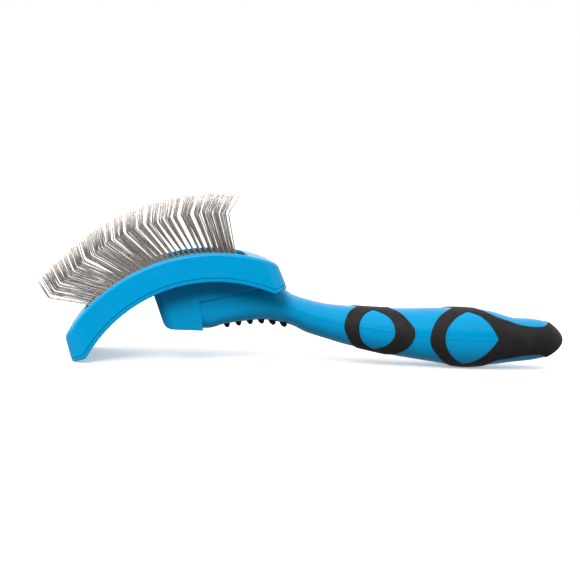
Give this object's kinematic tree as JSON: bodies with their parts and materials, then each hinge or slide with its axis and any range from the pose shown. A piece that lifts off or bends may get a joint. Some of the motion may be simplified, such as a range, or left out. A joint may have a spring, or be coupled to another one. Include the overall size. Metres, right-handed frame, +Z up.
{
  "type": "curved pin grooming brush",
  "caption": "Grooming brush with an arched head, a sprung bed of long bent wire pins, a bent handle, two soft grips and a nubbed thumb pad.",
  "frame": {"origin": "under the middle of the brush's overall box, on the plane that it rests on with its pins up", "axes": "+X along the brush from head to handle tip, +Y across the head, +Z up, the way the pins point"},
  "size_m": [0.2221, 0.0506, 0.0686],
  "materials": {
    "blue_plastic": "smooth moulded, satin sheen, bright blue",
    "grip_rubber": "matte black overmoulded elastomer with a fine grain",
    "pin_wire": "drawn spring-steel wire, grey",
    "screw_steel": "zinc-plated",
    "cushion_foam": "open-cell foam, off-white",
    "bed_cloth": "woven cotton layers, grey",
    "bed_rubber": "matte natural rubber face, dark grey"
  },
  "bodies": {
    "brush": {"head_bezel": "blue_plastic", "head_back": "blue_plastic", "pad_cushion": "cushion_foam", "handle_core": "blue_plastic", "front_grip": "grip_rubber", "rear_grip": "grip_rubber", "thumb_pad": "grip_rubber", "handle_screws": "screw_steel"},
    "pin_bed": {"pad_foundation": "bed_cloth", "pad_face": "bed_rubber", "pin_row_01": "pin_wire", "pin_row_02": "pin_wire", "pin_row_03": "pin_wire", "pin_row_04": "pin_wire", "pin_row_05": "pin_wire", "pin_row_06": "pin_wire", "pin_row_07": "pin_wire", "pin_row_08": "pin_wire", "pin_row_09": "pin_wire", "pin_row_10": "pin_wire", "pin_row_11": "pin_wire", "pin_row_12": "pin_wire", "pin_row_13": "pin_wire", "pin_row_14": "pin_wire", "pin_row_15": "pin_wire", "pin_row_16": "pin_wire", "pin_row_17": "pin_wire", "pin_row_18": "pin_wire", "pin_row_19": "pin_wire", "pin_row_20": "pin_wire", "pin_row_21": "pin_wire", "pin_row_22": "pin_wire", "pin_row_23": "pin_wire", "pin_row_24": "pin_wire", "pin_row_25": "pin_wire", "pin_row_26": "pin_wire", "pin_row_27": "pin_wire", "pin_row_28": "pin_wire", "pin_row_29": "pin_wire"}
  },
  "joints": [
    {"name": "pad_float", "type": "slide", "parent": "brush", "child": "pin_bed", "axis": [-0.3584, 0, 0.9336], "range_m": [-0.0015, 0], "stiffness_N_per_m": 6000, "springref_m": 0.0003, "deforming": ["pad_cushion"]}
  ]
}
